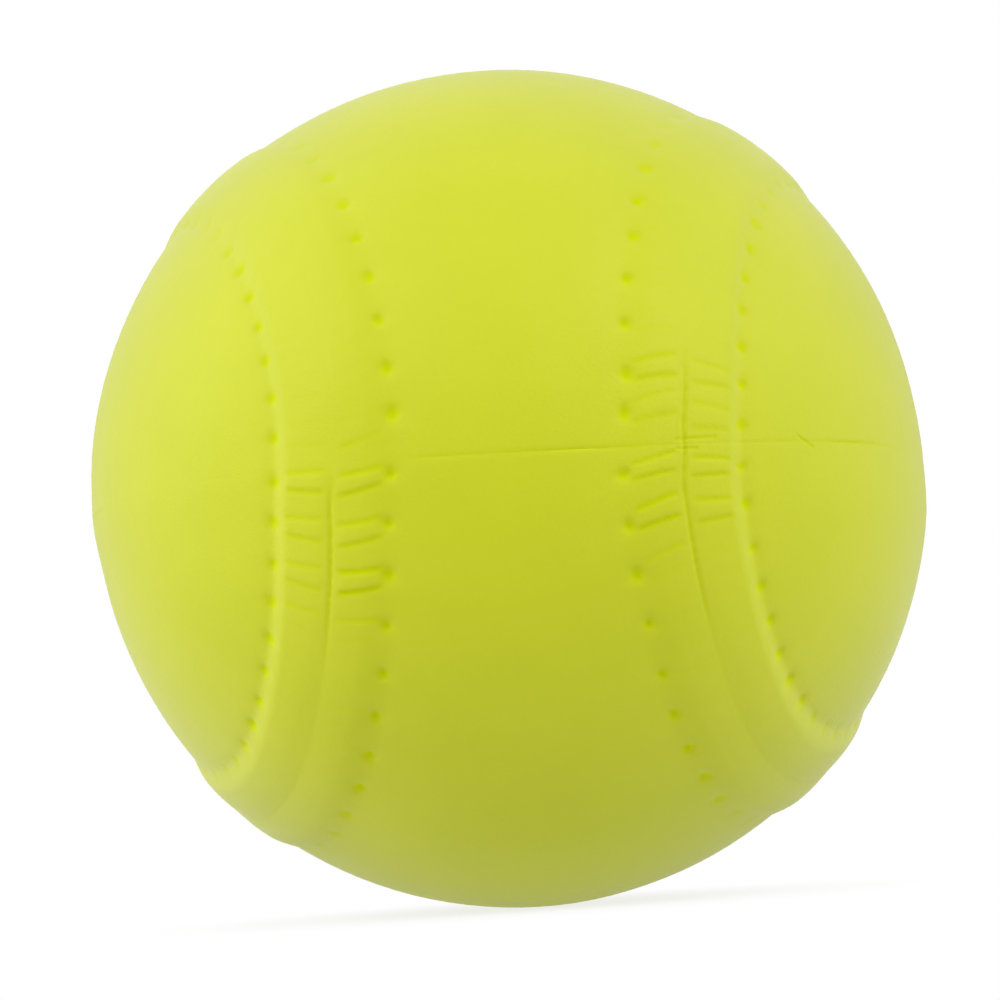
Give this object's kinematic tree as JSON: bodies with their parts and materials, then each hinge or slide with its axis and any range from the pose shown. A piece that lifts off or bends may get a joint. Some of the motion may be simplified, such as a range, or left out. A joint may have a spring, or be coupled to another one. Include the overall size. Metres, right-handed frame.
{
  "type": "foam pitching machine ball",
  "caption": "Soft foam practice ball for pitching machines, with a raised moulded seam welt, stitch holes along both its feet, slanted moulded threads and a mould parting line.",
  "frame": {"origin": "centre of the ball", "axes": "+Z is the mould's draw, square to the parting plane; Y is the axis that the seam winds round, and the narrow waist of one panel faces -Y; +X is to the right when that waist is looked at"},
  "size_m": [0.073, 0.073, 0.073],
  "materials": {
    "skin": "matte moulded polyurethane skin, optic yellow",
    "foam": "open-cell polyurethane foam, pale yellow"
  },
  "bodies": {
    "root": {"foam_core": "foam", "upper_skin": "skin", "lower_skin": "skin"}
  },
  "joints": []
}
